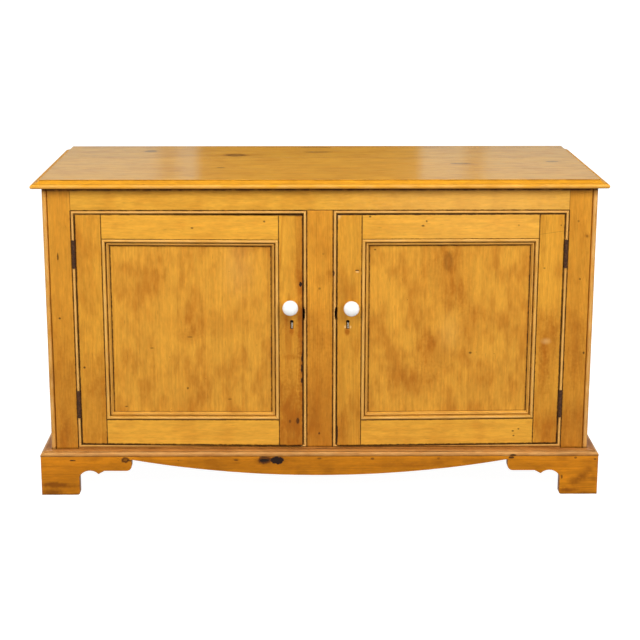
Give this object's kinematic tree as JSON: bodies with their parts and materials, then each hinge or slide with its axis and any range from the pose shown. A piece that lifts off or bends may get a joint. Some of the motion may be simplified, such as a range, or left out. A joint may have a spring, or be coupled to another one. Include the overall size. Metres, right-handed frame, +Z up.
{
  "type": "sideboard",
  "caption": "Low pine cupboard with a moulded top, framed and panelled doors on butt hinges, porcelain knobs and a plinth on bracket feet.",
  "frame": {"origin": "on the floor under the middle of the whole piece", "axes": "+X along the wall to the right as seen from the front, +Y from the doors towards the back, +Z up"},
  "size_m": [1.5276, 0.684, 0.87],
  "materials": {
    "top_pine": "waxed",
    "frame_pine": "waxed",
    "panel_pine": "waxed",
    "moulding_pine": "waxed",
    "plinth_pine": "waxed",
    "inside_pine": "waxed",
    "porcelain": "gloss",
    "hinge_iron": "aged",
    "lock_iron": "tarnished",
    "fastener_iron": "aged"
  },
  "bodies": {
    "carcass": {"back_boards": "inside_pine", "back_rail": "inside_pine", "bottom_beads": "moulding_pine", "bottom_board": "inside_pine", "centre_stile": "frame_pine", "door_stops": "inside_pine", "foot_blocks": "inside_pine", "frame_bottom_rail": "frame_pine", "frame_hinge_leaves": "hinge_iron", "frame_hinge_screws": "fastener_iron", "frame_top_rail": "frame_pine", "hinge_pins": "hinge_iron", "hinge_side_beads": "moulding_pine", "left_side": "frame_pine", "left_stile": "frame_pine", "lock_side_beads": "moulding_pine", "plinth_front": "plinth_pine", "plinth_left": "plinth_pine", "plinth_moulding_front": "plinth_pine", "plinth_moulding_left": "plinth_pine", "plinth_moulding_right": "plinth_pine", "plinth_right": "plinth_pine", "right_side": "frame_pine", "right_stile": "frame_pine", "shelf": "inside_pine", "shelf_bearers": "inside_pine", "top_back_strip": "top_pine", "top_beads": "moulding_pine", "top_front_board": "top_pine", "top_glue_blocks": "inside_pine", "top_middle_board": "top_pine", "top_rear_board": "top_pine"},
    "left_door": {"left_door_bottom_rail": "frame_pine", "left_door_hinge_leaves": "hinge_iron", "left_door_hinge_screws": "fastener_iron", "left_door_hinge_stile": "frame_pine", "left_door_lock_stile": "frame_pine", "left_door_panel": "panel_pine", "left_door_rail_mouldings": "moulding_pine", "left_door_stile_mouldings": "moulding_pine", "left_door_top_rail": "frame_pine", "left_knob": "porcelain", "left_knob_fixing": "fastener_iron", "left_lock_case": "lock_iron", "left_lock_screws": "fastener_iron"},
    "right_door": {"right_door_bottom_rail": "frame_pine", "right_door_hinge_leaves": "hinge_iron", "right_door_hinge_screws": "fastener_iron", "right_door_hinge_stile": "frame_pine", "right_door_lock_stile": "frame_pine", "right_door_panel": "panel_pine", "right_door_rail_mouldings": "moulding_pine", "right_door_stile_mouldings": "moulding_pine", "right_door_top_rail": "frame_pine", "right_knob": "porcelain", "right_knob_fixing": "fastener_iron", "right_lock_case": "lock_iron", "right_lock_screws": "fastener_iron"},
    "left_lock_bolt": {"left_lock_bolt": "lock_iron"},
    "right_lock_bolt": {"right_lock_bolt": "lock_iron"}
  },
  "joints": [
    {"name": "left_door_hinge", "type": "hinge", "parent": "carcass", "child": "left_door", "pos_m": [-0.6561, -0.307, 0.46], "axis": [0, 0, -1], "range_deg": [0, 170]},
    {"name": "right_door_hinge", "type": "hinge", "parent": "carcass", "child": "right_door", "pos_m": [0.6561, -0.307, 0.46], "axis": [0, 0, 1], "range_deg": [0, 170]},
    {"name": "left_bolt_slide", "type": "slide", "parent": "left_door", "child": "left_lock_bolt", "axis": [1, 0, 0], "range_m": [0, 0.013]},
    {"name": "right_bolt_slide", "type": "slide", "parent": "right_door", "child": "right_lock_bolt", "axis": [-1, 0, 0], "range_m": [0, 0.013]}
  ]
}
